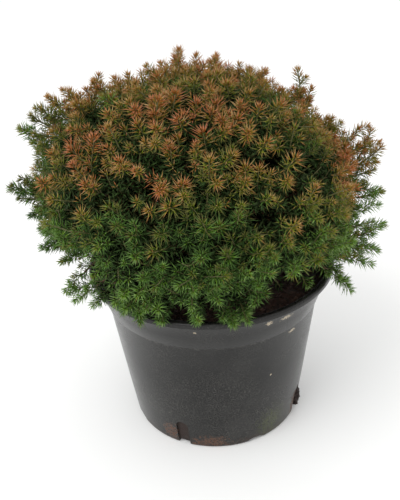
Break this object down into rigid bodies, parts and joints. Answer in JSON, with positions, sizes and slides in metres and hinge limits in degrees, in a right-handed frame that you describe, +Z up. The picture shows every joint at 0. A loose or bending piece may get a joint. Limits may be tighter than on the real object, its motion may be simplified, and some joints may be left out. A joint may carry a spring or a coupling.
{
  "type": "potted vilmoriniana japanese cedar",
  "caption": "Dwarf Japanese cedar, a low rounded bush of dense bronze-tipped shoots, growing in a round black plastic nursery pot filled with compost.",
  "frame": {"origin": "centre of the pot's flat underside", "axes": "+Z up; -Y towards the side that the picture shows; +X to the viewer's right"},
  "size_m": [0.2714, 0.2445, 0.2831],
  "materials": {
    "pot_plastic": "charcoal black injection-moulded plastic, semi-matt with a soft sheen, scuffed and a little soiled",
    "compost": "damp dark reddish-brown bark and peat compost",
    "bark": "thin red-brown bark in narrow peeling strips",
    "foliage_green": "short green needles with paler tips",
    "foliage_olive": "short olive needles, bronzed at the tips",
    "foliage_bronze": "short winter-bronzed needles, russet at the tips and green below"
  },
  "bodies": {
    "root": {"pot": "pot_plastic", "compost": "compost", "trunk": "bark", "bough_lower_1": "bark", "bough_lower_2": "bark", "bough_lower_3": "bark", "bough_lower_4": "bark", "bough_lower_5": "bark", "bough_lower_6": "bark", "bough_lower_7": "bark", "bough_lower_8": "bark", "bough_lower_9": "bark", "bough_lower_10": "bark", "bough_middle_1": "bark", "bough_middle_2": "bark", "bough_middle_3": "bark", "bough_middle_4": "bark", "bough_middle_5": "bark", "bough_middle_6": "bark", "bough_middle_7": "bark", "bough_middle_8": "bark", "bough_upper_1": "bark", "bough_upper_2": "bark", "bough_upper_3": "bark", "bough_upper_4": "bark", "bough_upper_5": "bark", "foliage_lower_1": "foliage_green", "foliage_lower_2": "foliage_green", "foliage_lower_3": "foliage_green", "foliage_lower_4": "foliage_green", "foliage_lower_5": "foliage_green", "foliage_lower_6": "foliage_green", "foliage_lower_7": "foliage_green", "foliage_lower_8": "foliage_green", "foliage_lower_9": "foliage_green", "foliage_lower_10": "foliage_green", "foliage_middle_1": "foliage_olive", "foliage_middle_2": "foliage_olive", "foliage_middle_3": "foliage_olive", "foliage_middle_4": "foliage_olive", "foliage_middle_5": "foliage_olive", "foliage_middle_6": "foliage_olive", "foliage_middle_7": "foliage_olive", "foliage_middle_8": "foliage_olive", "foliage_upper_1": "foliage_bronze", "foliage_upper_2": "foliage_bronze", "foliage_upper_3": "foliage_bronze", "foliage_upper_4": "foliage_bronze", "foliage_upper_5": "foliage_bronze", "foliage_top": "foliage_bronze"}
  },
  "joints": []
}
